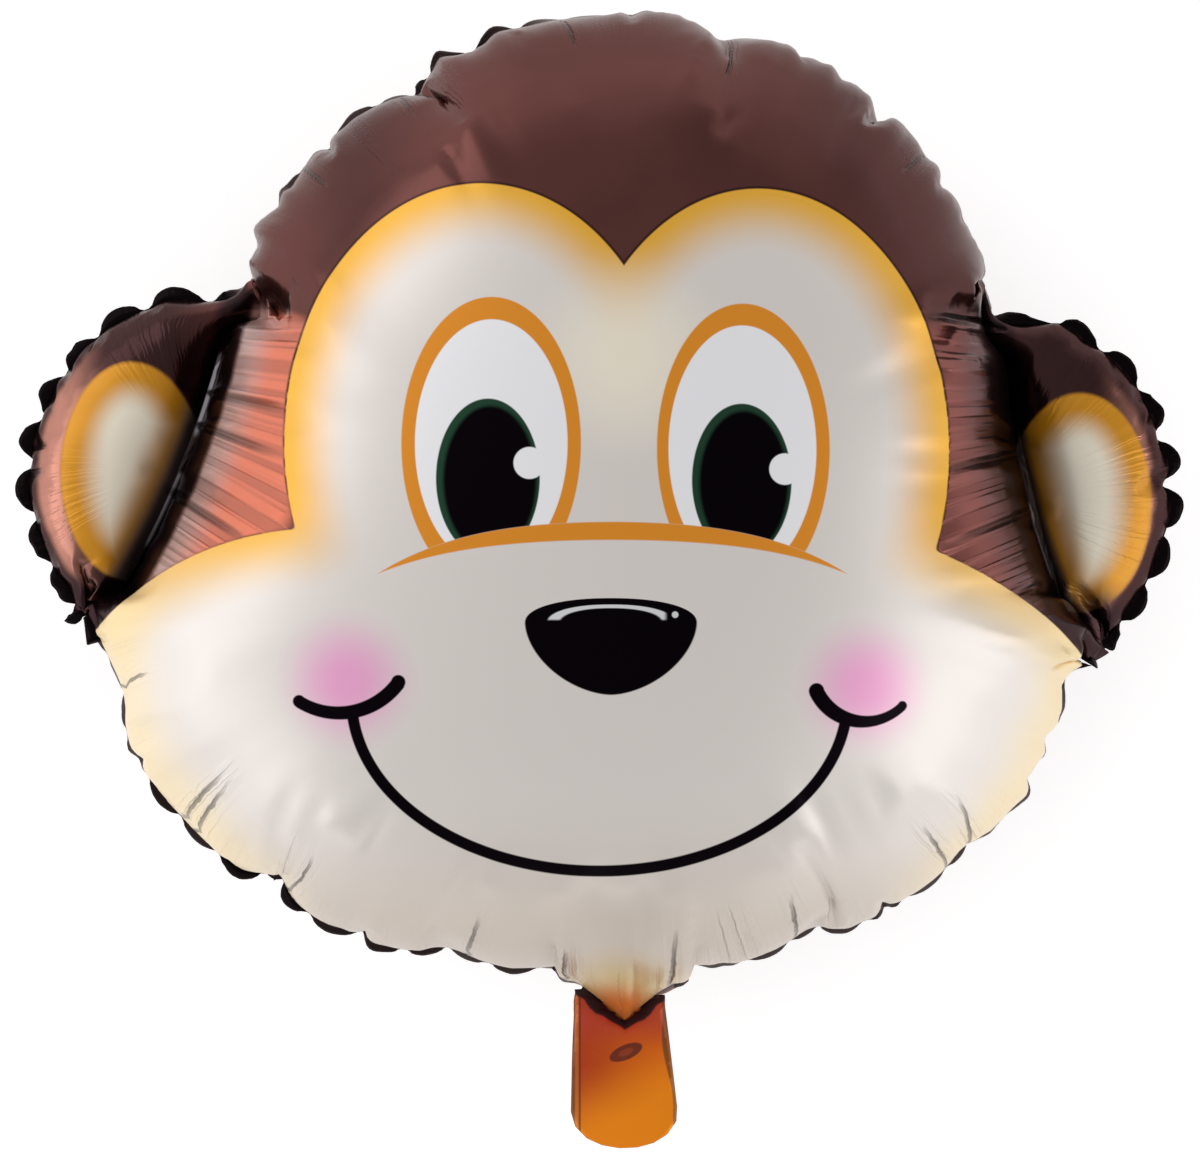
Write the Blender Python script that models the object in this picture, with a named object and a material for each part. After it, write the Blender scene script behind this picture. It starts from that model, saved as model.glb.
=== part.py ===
"""Foil monkey balloon, lying on its back with its face to +Z and its neck to -Y.

Two printed foil sheets are welded together along their rim and blown up. Each
sheet is its own solid here: the front one from the weld up to the face, the
back one from the weld down to the small flat spot that the balloon rests on.
Both carry half of the flat welded margin and half of the flat filling neck.
Sizes are in metres, and the origin is the middle of the flat spot.
"""
import math

import bmesh
import bpy

# Outline of the blown-up head: five ellipses, each with its centre and size
CROWN_X = 0.0076
CROWN_Y = 0.0959
CROWN_WIDTH = 0.393
CROWN_HEIGHT = 0.336
TEMPLES_X = 0.006
TEMPLES_Y = 0.040
TEMPLES_WIDTH = 0.422
TEMPLES_HEIGHT = 0.350
MUZZLE_X = -0.0058
MUZZLE_Y = -0.0735
MUZZLE_WIDTH = 0.496
MUZZLE_HEIGHT = 0.324
LEFT_EAR_X = -0.2217
LEFT_EAR_Y = 0.0244
LEFT_EAR_WIDTH = 0.158
LEFT_EAR_HEIGHT = 0.190
RIGHT_EAR_X = 0.2353
RIGHT_EAR_Y = 0.0154
RIGHT_EAR_WIDTH = 0.127
RIGHT_EAR_HEIGHT = 0.182
LOBE_BLEND = 24.0

# Height of the pillow in front of and behind the weld
FRONT_DEPTH = 0.150
BACK_DEPTH = 0.146
PILLOW_CROWNING = 2.4
PILLOW_FULLNESS = 0.42
EAR_PUFF = 0.34
EAR_FULLNESS = 0.46

# The small flat spot under the balloon
REST_DIAMETER = 0.100
REST_INSET = 0.0015

# Welded margin round the rim, and the film's stand-in thickness
FILM = 0.0012
SHEET_GAP = 0.0003
MARGIN = 0.006
SCALLOP = 0.0016
FLUTTER = 0.0022
PUCKER = 0.0014
PUCKER_REACH = 0.30

# Flat filling neck below the chin
NECK_X = 0.0098
NECK_LEAN = 0.0026
NECK_ROOT_WIDTH = 0.0457
NECK_END_WIDTH = 0.0549
NECK_LENGTH = 0.085
NECK_END_ROUND = 0.022
CHIN_TONGUE = 0.014
TONGUE_START = 12.0
NECK_END_SQUARENESS = 2.6

# Deep creases that run in from the rim: angle round the head, depth
CREASE_REACH = 0.42
RIM_CREASES = {
    "crown_left": (94.0, 0.007),
    "crown_right": (76.0, 0.008),
    "crown_far_left": (113.0, 0.006),
    "temple_left": (128.0, 0.005),
    "temple_right": (49.0, 0.005),
    "ear_root_left_top": (158.5, 0.006),
    "ear_root_left_middle": (169.0, 0.008),
    "ear_root_left_low": (181.0, 0.008),
    "ear_root_right_top": (20.0, 0.005),
    "ear_root_right_middle": (9.0, 0.007),
    "ear_root_right_low": (-4.0, 0.007),
    "cheek_left": (200.0, 0.005),
    "jaw_far_left": (215.0, 0.006),
    "jaw_left": (227.0, 0.008),
    "chin_left": (250.0, 0.009),
    "chin_right": (279.5, 0.004),
    "jaw_right": (298.0, 0.009),
    "jaw_far_right": (307.5, 0.006),
    "cheek_right": (334.0, 0.004),
}

# Mesh fineness
PLEAT_PITCH = 0.0154
HEAD_RINGS = 8
EAR_RINGS = 5
NECK_COLUMNS = 10
NECK_ROWS = 4
SCAN_STEPS = 3600

CROWN = (CROWN_X, CROWN_Y, CROWN_WIDTH / 2, CROWN_HEIGHT / 2)
TEMPLES = (TEMPLES_X, TEMPLES_Y, TEMPLES_WIDTH / 2, TEMPLES_HEIGHT / 2)
MUZZLE = (MUZZLE_X, MUZZLE_Y, MUZZLE_WIDTH / 2, MUZZLE_HEIGHT / 2)
LEFT_EAR = (LEFT_EAR_X, LEFT_EAR_Y, LEFT_EAR_WIDTH / 2, LEFT_EAR_HEIGHT / 2)
RIGHT_EAR = (RIGHT_EAR_X, RIGHT_EAR_Y, RIGHT_EAR_WIDTH / 2, RIGHT_EAR_HEIGHT / 2)
HALF_GAP = SHEET_GAP / 2
REST_RADIUS = REST_DIAMETER / 2
REST_LEVEL = BACK_DEPTH - REST_INSET


def lobe_reach(lobe, angle):
    """Distance from the origin to the far side of an ellipse, or 0 if the ray misses it."""
    centre_x, centre_y, half_width, half_height = lobe
    step_x = math.cos(angle) / half_width
    step_y = math.sin(angle) / half_height
    start_x = -centre_x / half_width
    start_y = -centre_y / half_height
    square = step_x ** 2 + step_y ** 2
    along = step_x * start_x + step_y * start_y
    inside = along ** 2 - square * (start_x ** 2 + start_y ** 2 - 1)
    if inside < 0:
        return 0.0
    return max(0.0, (-along + math.sqrt(inside)) / square)


def head_reach(angle):
    """Cut edge of the head without its ears: crown, temples and muzzle flow into each other."""
    reaches = [lobe_reach(lobe, angle) for lobe in (CROWN, TEMPLES, MUZZLE)]
    longest = max(reaches)
    blend = sum((reach / longest) ** LOBE_BLEND for reach in reaches)
    return longest * blend ** (1 / LOBE_BLEND)


def ear_reach(angle):
    """Cut edge of the ear in this direction, or 0 where there is none."""
    return max(lobe_reach(LEFT_EAR, angle), lobe_reach(RIGHT_EAR, angle))


def ear_width(angle):
    """How far the ear stands out past the head's own rim."""
    return max(0.0, ear_reach(angle) - head_reach(angle))


def ear_corners():
    """Angles where an ear's rim leaves or meets the head's, from the right ear's top round."""
    corners = []
    for step in range(SCAN_STEPS):
        before = math.tau * step / SCAN_STEPS
        after = math.tau * (step + 1) / SCAN_STEPS
        if (ear_width(before) > 0) != (ear_width(after) > 0):
            corners.append(before if ear_width(before) == 0 else after)
    return corners


def angle_below(x):
    """Angle at which the rim under the chin stands at this x."""
    low = math.radians(225)
    high = math.radians(315)
    for _ in range(40):
        middle = (low + high) / 2
        if head_reach(middle) * math.cos(middle) < x:
            low = middle
        else:
            high = middle
    return (low + high) / 2


def arc_length(start, end):
    """Length of the rim between two angles."""
    steps = 60
    total = 0.0
    for step in range(steps):
        a = start + (end - start) * step / steps
        b = start + (end - start) * (step + 1) / steps
        reach_a = max(head_reach(a), ear_reach(a))
        reach_b = max(head_reach(b), ear_reach(b))
        total += math.hypot(
            reach_b * math.cos(b) - reach_a * math.cos(a),
            reach_b * math.sin(b) - reach_a * math.sin(a),
        )
    return total


def column_angles():
    """Angles of the pleat lines, two to a pleat, with one on each corner of ears and neck."""
    neck_left = angle_below(NECK_X - NECK_ROOT_WIDTH / 2)
    neck_right = angle_below(NECK_X + NECK_ROOT_WIDTH / 2)
    breaks = sorted(ear_corners() + [neck_left, neck_right])
    breaks.append(breaks[0] + math.tau)
    counts = []
    for start, end in zip(breaks, breaks[1:]):
        if abs(start - neck_left) < 1e-9:
            counts.append(NECK_COLUMNS)
        else:
            counts.append(max(2, round(arc_length(start, end) / (PLEAT_PITCH / 2))))
    while sum(counts) % 8:
        counts[0] += 1
    angles = []
    for start, end, count in zip(breaks, breaks[1:], counts):
        angles += [start + (end - start) * k / count for k in range(count)]
    return angles, neck_left, neck_right


ANGLES, NECK_LEFT, NECK_RIGHT = column_angles()
COLUMNS = len(ANGLES)


def neck_share(angle):
    """-1 at the neck's left edge, 1 at its right edge, or None away from the neck."""
    slack = 1e-6
    if angle < NECK_LEFT - slack or angle > NECK_RIGHT + slack:
        return None
    return 2 * (angle - NECK_LEFT) / (NECK_RIGHT - NECK_LEFT) - 1


def crease_depths():
    """Depth of the fold at each pleat line: every other one is a fine pucker."""
    depths = [PUCKER * (column % 2) for column in range(COLUMNS)]
    for degrees, depth in RIM_CREASES.values():
        wanted = math.radians(degrees) % math.tau
        offsets = [abs(math.remainder(angle - wanted, math.tau)) for angle in ANGLES]
        nearest = offsets.index(min(offsets))
        depths[nearest] = depth
        for beside in (nearest - 1, (nearest + 1) % COLUMNS):
            depths[beside] = depth * 0.3
    for column, angle in enumerate(ANGLES):
        if neck_share(angle) is not None:
            depths[column] = 0.0
    return depths


CREASES = crease_depths()


def head_rim(column):
    """Radius of the head's weld: round the head, and along the root of each ear."""
    return head_reach(ANGLES[column]) - MARGIN


def tongue(column):
    """How far the blown-up head runs down into the mouth of the neck."""
    across = neck_share(ANGLES[column])
    if across is None:
        return 0.0
    return CHIN_TONGUE * (1 - across ** 2) ** 2


def pillow(share):
    """Profile of the blown-up head: 1 over its middle and 0 on its rim."""
    return (1 - share ** PILLOW_CROWNING) ** PILLOW_FULLNESS


def fold_fade(share, column):
    """How much of the fold is left at this share of the way to the rim."""
    reach = CREASE_REACH if CREASES[column] > PUCKER else PUCKER_REACH
    return max(0.0, 1 - (1 - share) / reach) ** 1.3


def head_point(column, ring, level, rest):
    """Point of the head's skin; ring 1 is the rest circle and the last ring is the rim."""
    rim = head_rim(column)
    first = math.asin(REST_RADIUS / rim)
    turn = first + (math.pi / 2 - first) * (ring - 1) / (HEAD_RINGS - 1)
    share = math.sin(turn)
    full = pillow(share)
    if rest:
        full /= pillow(REST_RADIUS / rim)
    height = FILM + (level - FILM) * full
    fold = CREASES[column] * fold_fade(share, column)
    out = math.hypot(math.sin(turn) / rim, math.cos(turn) / level)
    radius = share * rim - fold * math.sin(turn) / rim / out
    radius += tongue(column) * share ** TONGUE_START
    height -= fold * math.cos(turn) / level / out
    return radius, height


def ear_point(column, ring):
    """Point of an ear's skin; ring 0 is its root on the head and the last is its rim."""
    angle = ANGLES[column]
    root, _ = head_point(column, HEAD_RINGS, FRONT_DEPTH, False)
    rim = ear_reach(angle) - MARGIN
    share = (1 - math.cos(math.pi * ring / EAR_RINGS)) / 2
    full = (4 * share * (1 - share)) ** EAR_FULLNESS
    fold = PUCKER * (column % 2) * share
    radius = root + (rim - root) * share - fold
    height = FILM + EAR_PUFF * (rim - root) * full - fold * (1 - share)
    return radius, height


def build_sheet(name, side, level, rest, seam_height, material):
    """One sheet as a closed solid: side 1 is the face, side -1 the back."""
    mesh = bmesh.new()

    def add(column, radius, height):
        angle = ANGLES[column]
        place = (
            radius * math.cos(angle),
            radius * math.sin(angle),
            seam_height + side * height,
        )
        return mesh.verts.new(place)

    def strip(inner, outer):
        for a, b, c, d in zip(inner, inner[1:], outer, outer[1:]):
            corners = list(dict.fromkeys((a, b, d, c)))
            if len(corners) > 2:
                mesh.faces.new(corners)

    # The head: rings of points that get finer towards the rim
    strides = [8, 4, 2, 2] + [1] * (HEAD_RINGS - 4)
    middle = mesh.verts.new((0, 0, seam_height + side * level))
    rings = []
    for ring, stride in enumerate(strides, start=1):
        points = []
        for column in range(0, COLUMNS, stride):
            radius, height = head_point(column, ring, level, rest)
            points.append(add(column, radius, height))
        rings.append(points + points[:1])
    for a, b in zip(rings[0], rings[0][1:]):
        mesh.faces.new((middle, a, b))
    for inner, outer in zip(rings, rings[1:]):
        if len(inner) == len(outer):
            strip(inner, outer)
            continue
        for k in range(len(inner) - 1):
            left, half, right = outer[2 * k:2 * k + 3]
            mesh.faces.new((inner[k], left, half))
            mesh.faces.new((inner[k], half, inner[k + 1]))
            mesh.faces.new((inner[k + 1], half, right))

    # The ears: small pillows from the weld at their root out to their own rim
    rim = rings[-1][:COLUMNS]
    ears = []
    for column in range(COLUMNS):
        if ear_width(ANGLES[column]) > 0:
            line = [rim[column]]
            for ring in range(1, EAR_RINGS + 1):
                radius, height = ear_point(column, ring)
                line.append(add(column, radius, height))
            ears.append(line)
        else:
            ears.append([rim[column]] * (EAR_RINGS + 1))
    for column in range(COLUMNS):
        here = ears[column]
        beside = ears[(column + 1) % COLUMNS]
        if here[-1] is not here[0] or beside[-1] is not beside[0]:
            strip(here, beside)
    weld = [line[-1] for line in ears]

    # The welded margin: it flutters up and down and its cut edge is scalloped
    def edge_place(column):
        angle = ANGLES[column]
        point = weld[column].co
        wave = 1 if column % 2 else -1
        share = neck_share(angle)
        if share is not None:
            wave = 0
        reach = math.hypot(point.x, point.y) + MARGIN + SCALLOP * wave
        flutter = FLUTTER * wave * math.sin(5 * angle)
        return reach * math.cos(angle), reach * math.sin(angle), flutter

    def add_pair(x, y, flutter):
        outside = mesh.verts.new((x, y, seam_height + side * FILM + flutter))
        inside = mesh.verts.new((x, y, seam_height + side * HALF_GAP + flutter))
        return outside, inside

    under_weld = []
    for point in weld:
        place = (point.co.x, point.co.y, seam_height + side * HALF_GAP)
        under_weld.append(mesh.verts.new(place))
    edge = [add_pair(*edge_place(column)) for column in range(COLUMNS)]
    for column in range(COLUMNS):
        after = (column + 1) % COLUMNS
        mesh.faces.new((weld[column], weld[after], edge[after][0], edge[column][0]))
        mesh.faces.new((under_weld[after], under_weld[column], edge[column][1], edge[after][1]))
    mesh.faces.new(under_weld)

    # The neck: rows from the margin under the chin down to its rounded end
    neck = [c for c in range(COLUMNS) if neck_share(ANGLES[c]) is not None]
    rows = [[edge[column] for column in neck]]
    chin = angle_below(NECK_X)
    end_y = head_reach(chin) * math.sin(chin) - NECK_LENGTH
    for row in range(1, NECK_ROWS + 1):
        share = row / NECK_ROWS
        line = []
        for column in neck:
            across = neck_share(ANGLES[column])
            start = edge[column][0].co
            rounding = 1 - math.sqrt(max(0.0, 1 - abs(across) ** NECK_END_SQUARENESS))
            end_x = NECK_X + NECK_LEAN + across * NECK_END_WIDTH / 2
            x = start.x + (end_x - start.x) * share
            y = start.y + (end_y + NECK_END_ROUND * rounding - start.y) * share
            line.append(add_pair(x, y, 0))
        rows.append(line)
    for above, below in zip(rows, rows[1:]):
        strip([pair[0] for pair in above], [pair[0] for pair in below])
        strip([pair[1] for pair in below], [pair[1] for pair in above])

    # The cut edge all round closes the solid
    outline = [edge[column % COLUMNS] for column in range(neck[-1], neck[0] + COLUMNS + 1)]
    outline += [line[0] for line in rows[1:]]
    outline += rows[-1][1:]
    outline += [line[-1] for line in rows[-2:0:-1]]
    outline.append(outline[0])
    for (a_out, a_in), (b_out, b_in) in zip(outline, outline[1:]):
        mesh.faces.new((a_out, b_out, b_in, a_in))

    bmesh.ops.recalc_face_normals(mesh, faces=mesh.faces[:])
    data = bpy.data.meshes.new(name)
    mesh.to_mesh(data)
    mesh.free()
    data.shade_smooth()
    data.set_sharp_from_angle(angle=math.radians(50))
    data.materials.append(material)
    sheet = bpy.data.objects.new(name, data)
    bpy.context.scene.collection.objects.link(sheet)
    return sheet


def foil(name, colour, roughness):
    """Printed metallised film."""
    material = bpy.data.materials.new(name)
    material.use_nodes = True
    shader = material.node_tree.nodes["Principled BSDF"]
    shader.inputs["Base Color"].default_value = (*colour, 1)
    shader.inputs["Metallic"].default_value = 0.7
    shader.inputs["Roughness"].default_value = roughness
    return material


for item in list(bpy.data.objects):
    bpy.data.objects.remove(item, do_unlink=True)

FRONT_PRINT = foil("printed_front_foil", (0.62, 0.52, 0.42), 0.28)
BACK_FILM = foil("plain_back_foil", (0.10, 0.05, 0.04), 0.30)

build_sheet("front_foil", 1, FRONT_DEPTH, False, REST_LEVEL, FRONT_PRINT)
build_sheet("back_foil", -1, REST_LEVEL, True, REST_LEVEL, BACK_FILM)
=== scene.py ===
import math

import bmesh
import bpy
import numpy as np
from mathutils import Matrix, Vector, geometry
from mathutils.kdtree import KDTree


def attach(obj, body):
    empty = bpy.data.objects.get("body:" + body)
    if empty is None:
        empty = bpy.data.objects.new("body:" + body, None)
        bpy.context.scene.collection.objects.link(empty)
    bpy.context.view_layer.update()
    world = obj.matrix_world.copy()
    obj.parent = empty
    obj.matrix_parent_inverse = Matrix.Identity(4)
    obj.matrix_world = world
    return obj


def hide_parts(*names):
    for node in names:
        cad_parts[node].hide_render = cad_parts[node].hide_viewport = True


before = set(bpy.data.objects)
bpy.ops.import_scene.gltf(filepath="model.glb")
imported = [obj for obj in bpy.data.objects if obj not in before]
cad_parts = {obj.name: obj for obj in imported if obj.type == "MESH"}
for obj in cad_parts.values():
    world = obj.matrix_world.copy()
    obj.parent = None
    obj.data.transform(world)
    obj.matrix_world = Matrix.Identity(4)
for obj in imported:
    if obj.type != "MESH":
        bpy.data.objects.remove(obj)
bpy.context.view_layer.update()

# The flat blank. Two sheets of thin polyester film, metallised and printed, lie
# on each other. One die cuts them with a margin round the shape and the neck, and
# a hot bar welds them along the rim and along the root of each ear.
LOBES = {
    "crown": (0.0072, 0.0112, 0.2928, 0.3170),
    "muzzle": (-0.0031, -0.0320, 0.3166, 0.2762),
    "left_ear": (-0.2622, 0.0469, 0.1286, 0.1138),
    "right_ear": (0.2686, 0.0283, 0.1224, 0.1117),
    "chin_tongue": (0.0100, -0.2900, 0.0190, 0.0300),
}
MARGIN = 0.0080
NECK_X = 0.0098
NECK_LEAN = 0.0026
NECK_ROOT_HALF = 0.0229
NECK_END_HALF = 0.0275
NECK_LENGTH = 0.0890
NECK_END_ROUND = 0.0220
FILM_STEP = 0.0091
FINE_STEP = 0.001
ROWS_BY_RIM = 3
EAR_WELDS = {
    "left": {"top": (-0.266, 0.161), "bottom": (-0.346, -0.080), "bow": 0.018, "ends": (0.03, 0.88)},
    "right": {"top": (0.283, 0.143), "bottom": (0.327, -0.082), "bow": -0.012, "ends": (0.03, 0.91)},
}
WELD_WIDTH = 0.003
RIM_DIRECTIONS = 12000
FOLDED_BACK = 0.985


def lobe_reach(angle, lobe):
    """How far out from the middle an ellipse's far side is met in one direction."""
    x, y, half_width, half_height = lobe
    step_x = math.cos(angle) / half_width
    step_y = math.sin(angle) / half_height
    start_x = -x / half_width
    start_y = -y / half_height
    square = step_x ** 2 + step_y ** 2
    half_linear = start_x * step_x + start_y * step_y
    inside_root = half_linear ** 2 - square * (start_x ** 2 + start_y ** 2 - 1)
    if inside_root < 0:
        return 0.0
    return (math.sqrt(inside_root) - half_linear) / square


def run_length(line, closed=True):
    """The line with its first point repeated where closed, and the way along it."""
    whole = np.vstack([line, line[:1]]) if closed else line
    steps = np.linalg.norm(np.diff(whole, axis=0), axis=1)
    return whole, np.concatenate([[0.0], np.cumsum(steps)])


def respace(line, count, closed=True):
    whole, way = run_length(line, closed)
    wanted = np.linspace(0.0, way[-1], count + 1)
    if closed:
        wanted = wanted[:-1]
    return np.column_stack([np.interp(wanted, way, whole[:, axis]) for axis in (0, 1)])


def length_of(line, closed=True):
    return run_length(line, closed)[1][-1]


def finder(points):
    tree = KDTree(len(points))
    for index, point in enumerate(points):
        tree.insert((point[0], point[1], 0.0), index)
    tree.balance()
    return tree


def distances(tree, points):
    return np.array([tree.find((point[0], point[1], 0.0))[2] for point in points])


def within(points, outline):
    """True for each point inside a closed outline, by counting crossings."""
    x, y = points[:, 0], points[:, 1]
    result = np.zeros(len(points), bool)
    for start, end in zip(outline, np.roll(outline, -1, axis=0)):
        if start[1] == end[1]:
            continue
        crosses = (start[1] > y) != (end[1] > y)
        at_x = (end[0] - start[0]) * (y - start[1]) / (end[1] - start[1]) + start[0]
        result ^= crosses & (x < at_x)
    return result


def outward_of(loop):
    """The level direction out of a closed row of places, at each of them."""
    along = np.roll(loop, -1, axis=0) - np.roll(loop, 1, axis=0)
    outward = np.column_stack([along[:, 1], -along[:, 0]])
    return outward / np.linalg.norm(outward, axis=1)[:, None]


def beside(line, distance, tree):
    """A line run beside a closed one, with what folds back at its corners left out."""
    moved = line + outward_of(line) * distance
    return moved[distances(tree, moved) > abs(distance) * FOLDED_BACK]


directions = np.linspace(0.0, math.tau, RIM_DIRECTIONS, endpoint=False)
reaches = np.array([max(lobe_reach(a, lobe) for lobe in LOBES.values()) for a in directions])
rim_line = np.column_stack([reaches * np.cos(directions), reaches * np.sin(directions)])
rim_length = length_of(rim_line)
rim = respace(rim_line, round(rim_length / FILM_STEP))
edge = rim_length / len(rim)
fine_rim = respace(rim_line, int(rim_length / FINE_STEP))
rim_finder = finder(fine_rim)

# the die's cut, with the neck let into its lower side
cut_line = beside(fine_rim, MARGIN, rim_finder)
over_neck = np.flatnonzero((cut_line[:, 1] < 0) & (abs(cut_line[:, 0] - NECK_X) < NECK_ROOT_HALF))
first, last = over_neck[0], over_neck[-1]
chin_flat = fine_rim[abs(fine_rim[:, 0] - NECK_X) < 0.03][:, 1].min()
neck_end = chin_flat - NECK_LENGTH + 0.003
end_turn = np.linspace(math.pi, math.tau, 60)
neck_tip = np.column_stack([
    NECK_X + NECK_LEAN + NECK_END_HALF * np.cos(end_turn),
    neck_end + NECK_END_ROUND + NECK_END_ROUND * np.sin(end_turn)])
cut_line = np.vstack([cut_line[:first], neck_tip, cut_line[last + 1:]])
cut = respace(cut_line, round(length_of(cut_line) / edge))

weld_loops = []
for weld in EAR_WELDS.values():
    top, bottom = np.array(weld["top"]), np.array(weld["bottom"])
    share = np.linspace(*weld["ends"], 200)[:, None]
    along = (bottom - top) / np.linalg.norm(bottom - top)
    across = np.array([-along[1], along[0]])
    middle = top + (bottom - top) * share + across * 4 * weld["bow"] * share * (1 - share)
    steps = round(length_of(middle, False) / edge)
    sides = [respace(middle + across * side * WELD_WIDTH / 2, steps, False) for side in (1, -1)]
    weld_loops.append(np.vstack([sides[0], sides[1][::-1]]))

# points over the film: rows that follow the rim, then an even triangular grid
rails = [rim, cut] + weld_loops
rail_finder = finder(np.vstack([respace(rail, int(length_of(rail) / FINE_STEP)) for rail in rails]))
weld_finder = finder(np.vstack([respace(loop, 400) for loop in weld_loops]))
row_gap = edge * math.sqrt(3) / 2
rows = np.vstack([beside(rim, -row_gap * count, rim_finder) for count in range(1, ROWS_BY_RIM + 1)])
rows = rows[distances(weld_finder, rows) > 0.7 * edge]
low, high = cut.min(axis=0), cut.max(axis=0)
grid = []
for row, y in enumerate(np.arange(low[1], high[1], row_gap)):
    shift = edge / 2 * (row % 2)
    grid += [(x, y) for x in np.arange(low[0] + shift, high[0], edge)]
grid = np.array(grid)
grid = grid[within(grid, cut)]
clear = distances(rail_finder, grid) > 0.75 * edge
past_rows = distances(rim_finder, grid) > row_gap * ROWS_BY_RIM + 0.6 * edge
grid = grid[clear & (past_rows | ~within(grid, rim))]
all_points = np.vstack(rails + [rows, grid])
rail_edges = []
start = 0
for rail in rails:
    rail_edges += [(start + i, start + (i + 1) % len(rail)) for i in range(len(rail))]
    start += len(rail)
rail_count = start
found = geometry.delaunay_2d_cdt([Vector(p) for p in all_points], rail_edges, [], 1, 1e-7)
points = np.array([list(p) for p in found[0]])
triangles = np.array([list(t) for t in found[2]])
middles = points[triangles].mean(axis=1)
in_cut = within(middles, cut)
triangles, middles = triangles[in_cut], middles[in_cut]
sides = points[triangles[:, 1]] - points[triangles[:, 0]], points[triangles[:, 2]] - points[triangles[:, 0]]
turned = sides[0][:, 0] * sides[1][:, 1] - sides[0][:, 1] * sides[1][:, 0] < 0
triangles[turned] = triangles[turned][:, ::-1]

# apart where the gas goes between the sheets, joined in the margin and the welds
apart = within(middles, rim)
for loop in weld_loops:
    apart &= ~within(middles, loop)
joined = np.zeros(len(points), bool)
joined[:rail_count] = True
closed_up = apart & joined[triangles].all(axis=1)
while closed_up.any():
    apart &= ~closed_up
    joined[triangles[~apart]] = True
    closed_up = apart & joined[triangles].all(axis=1)
joined[triangles[~apart]] = True
used = np.unique(triangles)
loose = np.setdiff1d(used, np.flatnonzero(joined))
twin = np.arange(len(points))
twin[loose] = len(points) + np.arange(len(loose))
flat = np.vstack([points, points[loose]])
flat = np.column_stack([flat, np.zeros(len(flat))])
FRONT, BACK, BOTH = 0, 1, 2
faces = np.vstack([triangles[apart], twin[triangles[apart]][:, ::-1], triangles[~apart]])
side_of = np.repeat([FRONT, BACK, BOTH], [apart.sum(), apart.sum(), (~apart).sum()])

bag = bmesh.new()
flat_of = bag.verts.layers.float_vector.new("flat")
side_layer = bag.faces.layers.int.new("side")
bag_verts = []
for place in flat:
    vert = bag.verts.new(place)
    vert[flat_of] = place
    bag_verts.append(vert)
for corners, side in zip(faces, side_of):
    face = bag.faces.new([bag_verts[index] for index in corners])
    face[side_layer] = int(side)
bmesh.ops.delete(bag, geom=[vert for vert in bag.verts if not vert.link_faces], context="VERTS")

# Filling. Gas goes in between the sheets, which hardly stretch, so the rim draws
# in, the film buckles there into beads and creases, and the ears' welds stay low.
SIM_SCALE = 10.0
GAS_PRESSURE = 6.0
FILM_STIFFNESS = 40.0
FILM_DAMPING = 5.0
START_BULGE = 0.05
CREASES = {
    "crown_left": (94.2, 0.0005), "crown_right": (76.6, 0.0006), "crown_far_left": (115.0, 0.0006),
    "cheek_left": (198.5, 0.0004), "jaw_far_left": (214.8, 0.0005), "jaw_left": (228.1, 0.0006),
    "chin_left": (251.8, 0.0006), "chin_right": (278.8, 0.0004), "jaw_right": (296.0, 0.0006),
    "jaw_far_right": (317.5, 0.0005),
}
CREASE_REACH = 0.007
CREASE_DEPTH = 0.035
REFINE_WITHIN = 0.060


def bearings_of(places):
    """The direction of each place from the middle, in degrees."""
    return np.degrees(np.arctan2(places[:, 1], places[:, 0]))


def reaches_of(places):
    """How far each place is from the middle, seen from above."""
    return np.hypot(places[:, 0], places[:, 1])


def turn_to(bearing, degrees):
    """The turn from one direction to another, at most half a turn either way."""
    return (bearing - degrees + 180) % 360 - 180


def flat_places(shape):
    """Where each vertex of the bag or of a sheet lies on the flat blank."""
    layer = shape.verts.layers.float_vector["flat"]
    return np.array([list(vert[layer]) for vert in shape.verts])


def verts_on(*sides):
    """Numbers of the vertices that the faces of these sides use."""
    return {v.index for face in bag.faces if face[side_layer] in sides for v in face.verts}


def ways_and_depths(places):
    """Way along the rim and depth inside it, for places on the flat blank."""
    hits = [rim_finder.find((place[0], place[1], 0.0)) for place in places]
    way = np.array([hit[1] for hit in hits]) * rim_length / len(fine_rim)
    depth = np.array([hit[2] for hit in hits])
    inside = within(places, fine_rim[::4])
    return way, np.where(inside, depth, -depth)


def placed(name, data):
    """A new object in the scene, made of a mesh, a lamp or a camera."""
    thing = bpy.data.objects.new(name, data)
    bpy.context.scene.collection.objects.link(thing)
    return thing


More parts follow.
